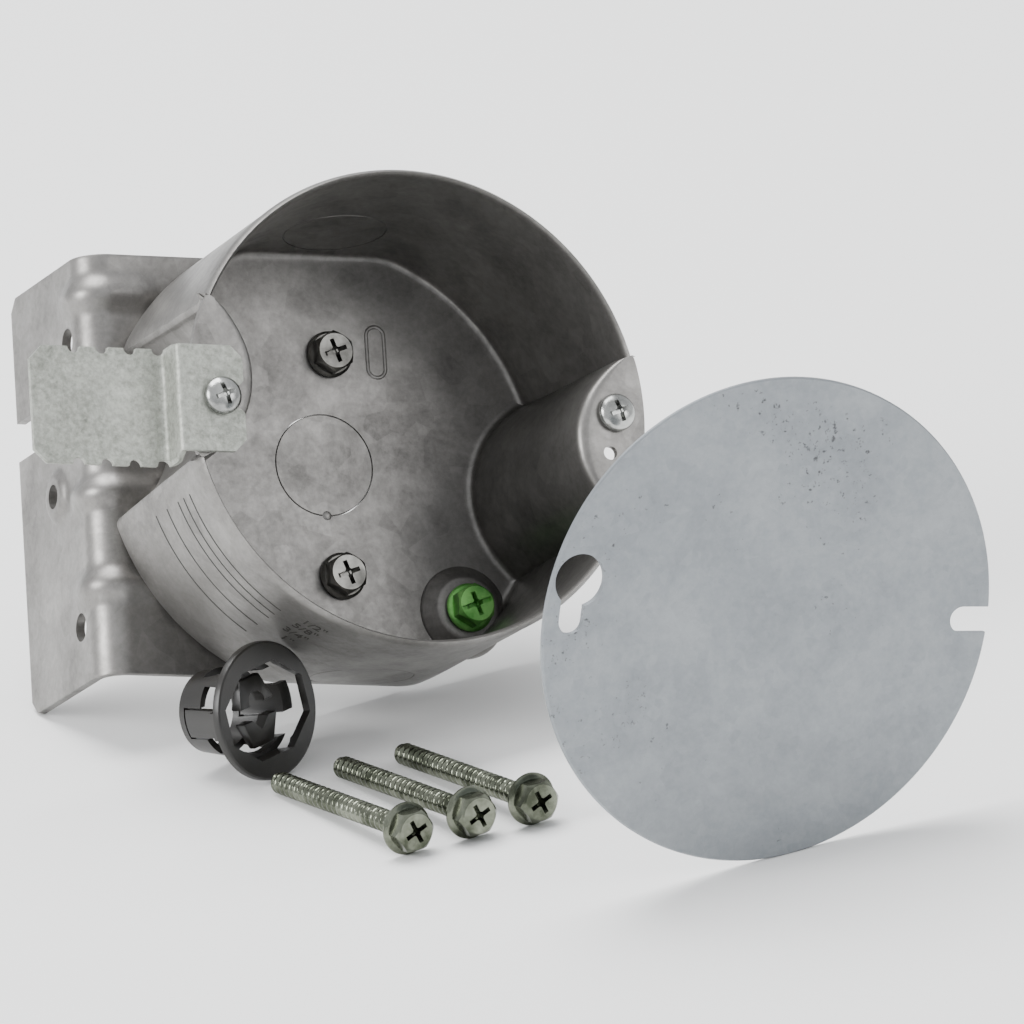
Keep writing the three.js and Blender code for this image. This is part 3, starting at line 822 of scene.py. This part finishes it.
# %% Disc, keyhole and slot
COVER_RADIUS, COVER_GAUGE, HOLE = 50.4, 1.3, 2.7
cover = disc("cover", COVER_RADIUS, COVER_GAUGE, ease=0.3, sides=192)
cut(cover,
    punch(HOLE, 6, (-EAR_SCREW_X, 0, 0.6)), punch(5.5, 6, (1 - EAR_SCREW_X, 8.4, 0.6), sides=56),
    chisel((2 * HOLE, 6, 6), (-EAR_SCREW_X, 3, 0.6)),
    punch(HOLE, 6, (EAR_SCREW_X, 0, 0.6)), chisel((8, 2 * HOLE, 6), (EAR_SCREW_X + 4, 0, 0.6)))
set_down(cover, "blank_cover", COVER, "cover", cover_zinc, "cover_zinc", "cover", angle=40)

# %% [markdown]
# ## The cable connector
# One moulding in dark nylon: a flange with an eight-sided opening, a tapered barrel, two
# jaws that spring towards each other and two snap tabs in the sides. The barrel is turned
# with its wall, then its windows are cut, because the tabs and jaws stand in those windows.

# %% Moulded nylon
def moulded(name, pale, dark):
    """Dark nylon: a satin skin with a fine spark-eroded grain and slightly greyer high spots."""
    material, tree, shader = new_material(name)
    place = add(tree, "TexCoord").outputs["Object"]
    cloud = noise(tree, place, 7, 4.0)
    tree.links.new(ramp(tree, cloud, (0.35, dark), (0.7, pale)), shader.inputs["Base Color"])
    shader.inputs["Roughness"].default_value = 0.36
    shader.inputs["IOR"].default_value = 1.53
    skin = noise(tree, place, 0.45, 2.0)
    tree.links.new(bump(tree, skin, 0.3, 0.00006), shader.inputs["Normal"])
    return material

nylon = moulded("dark_moulded_nylon", "#17140f", "#0e0c09")

# %% Flange and barrel
BARREL_LENGTH, BARREL_WALL = 15.5, 1.4

def barrel_radius(z):
    """The outside of the barrel, which tapers away from the flange."""
    return 10.5 + 1.9 * z / BARREL_LENGTH

def sleeve(name, outer, inner, low, high):
    """A tube that follows the barrel's taper, outer and inner from its surface."""
    near, far = barrel_radius(low), barrel_radius(high)
    return closed(turned(name, [(near + inner, low), (near + outer, low), (far + outer, high),
                                (far + inner, high), (near + inner, low)], 64))

plug = closed(turned("plug", [
    (TINY, 0), (14.2, 0), (14.5, 0.3), (14.5, 1.3), (14.35, 1.75), (14.0, 2.0), (TINY, 2.0)], 72))
HALF_SIDE = rad(22.5)                       # half the angle of one side of an octagon
opening = punch(9.5 / math.cos(HALF_SIDE), 6, (0, 0, 1), sides=8)
opening.data.transform(Matrix.Rotation(HALF_SIDE, 4, "Z"))
opening.data.transform(Matrix.Diagonal((1.24, 1, 1, 1)))
cut(plug, sleeve("barrel", 0, -BARREL_WALL, -BARREL_LENGTH, 0.5), how="UNION")
cut(plug, opening,
    chisel((40, 6.8, 11.9), (0, 0, -7.95)), chisel((40, 14.6, 8.5), (0, 0, -4.25)),
    chisel((7, 40, 7), (0, 0, -7.5)))
set_down(plug, "connector_shell", PLUG, "connector", nylon, "black_plastic", "connector_body",
         angle=24)

# %% Jaws and snap tabs
for side, word in ((1, "upper"), (-1, "lower")):
    jaw = chisel((10.2, 5.9, 3.0), (0, 4.45, -JAW_HINGE))
    jaw.name = "jaw"
    bpy.ops.object.transform_apply(location=True, rotation=True, scale=True)
    for corner in jaw.data.vertices:
        if corner.co.y > 7:
            corner.co.x *= 0.6
            corner.co.z = -JAW_HINGE + (corner.co.z + JAW_HINGE) * 0.55
    finish_with(jaw, "BEVEL", width=0.35, segments=2, limit_method="ANGLE", angle_limit=rad(40))
    if side > 0:
        cut(jaw, punch(2.3, 9, (0, 2.0, -2)), chisel((3, 3, 9), (0, 1.2, -2)))
    else:
        cut(jaw, chisel((3.4, 3.4, 9), (0, 1.6, -2), (0, 0, rad(45))))
    jaw.data.transform(Matrix.Rotation(0 if side > 0 else math.pi, 4, "Z"))
    set_down(jaw, f"{word}_jaw", PLUG, f"connector_jaw_{word}", nylon, "black_plastic",
             f"connector_jaw_{word}", angle=24)

for turn, word in ((0, "right"), (math.pi, "left")):
    tongue = sleeve("tongue", 0, -BARREL_WALL, -13.5, -2.4)
    cut(tongue, chisel((20, 6, 14), (10, 0, -8)), how="INTERSECT")
    catch = sleeve("catch", 1.4, -0.3, -4.0, -2.4)
    cut(catch, chisel((20, 6, 4), (10, 0, -3.2)), how="INTERSECT")
    cut(tongue, catch, how="UNION")
    tongue.data.transform(Matrix.Rotation(turn, 4, "Z"))
    set_down(tongue, f"{word}_snap_tab", PLUG, f"connector_snap_tab_{word}", nylon,
             "black_plastic", f"connector_snap_tab_{word}")

# %% [markdown]
# ## Stamped marks
# A depth gauge is stamped outside the wall: five lines along it, with a size at the end of
# four, and a pill-shaped border stands on the floor. Cutting lines this fine into the
# shell would need a far denser mesh, so the lines and the sizes are a skin three hundredths
# of a millimetre proud, painted dark with the shade a stamped groove holds; it looks the same.

# %% Gauge lines and sizes
def on_wall(angle, height, proud):
    """A point outside the wall, proud of the sheet."""
    r = inside_radius(angle, height) + GAUGE + proud
    return Vector((r * math.cos(angle), r * math.sin(angle), height))

# Painted shade: a near-black colour that stands in for the shadow inside the stamped lines and
# sizes.
groove_shade, tree, shader = new_material("stamped_line_shadow")
place = add(tree, "TexCoord").outputs["Object"]
shade = ramp(tree, noise(tree, place, 5, 3.0), (0, "#1c1b19"), (1, "#35332f"))
tree.links.new(shade, shader.inputs["Base Color"])
shader.inputs["Roughness"].default_value = 0.6

LINES_BELOW_RIM = (11.3, 14.8, 18.1, 24.6, 31)
LINE_START, LINE_END, LINE_STEPS = -159.5, -124.5, 60
for i, below in enumerate(LINES_BELOW_RIM, 1):
    line = blank("line", LINE_STEPS, 1, lambda u, v: on_wall(
        rad(LINE_START + (LINE_END - LINE_START) * u / LINE_STEPS),
        DEPTH - below + 0.17 * (2 * v - 1), 0.03))
    finish_with(line, "SOLIDIFY", thickness=0.06, offset=0)
    set_down(line, f"gauge_line_{i}", BOX, "box", groove_shade, "galvanised_steel")

SIZES = (("1/2\"", 9.2, -119.5), ("5/8\"", 13.4, -120), ("3/4\"", 17.8, -120.5),
         ("1\"", 22.6, -119))
for text, below, start in SIZES:
    bare()
    bpy.ops.object.text_add()
    label = bpy.context.object
    label.data.body = text
    label.data.size = 3.6
    label.data.extrude = 0.04
    bpy.ops.object.convert(target="MESH")
    weld(label, gap=0.0005)
    for corner in label.data.vertices:
        x, y, z = corner.co
        corner.co = on_wall(rad(start) + x / 51, DEPTH - below + y - 1, 0.1 + z)
    set_down(label, f"size_{round(below)}", BOX, "box", groove_shade, "galvanised_steel")

# %% The border on the floor
bare()
bpy.ops.mesh.primitive_torus_add(major_radius=2.0, minor_radius=0.42, major_segments=40,
                                 minor_segments=12)
pill = bpy.context.object
for corner in pill.data.vertices:
    corner.co.y += 3.5 if corner.co.y > 0 else -3.5
    corner.co.z *= 0.6
set_down(pill, "floor_border", lifted(13.3, 25, GAUGE), "box", box_zinc, "galvanised_steel")
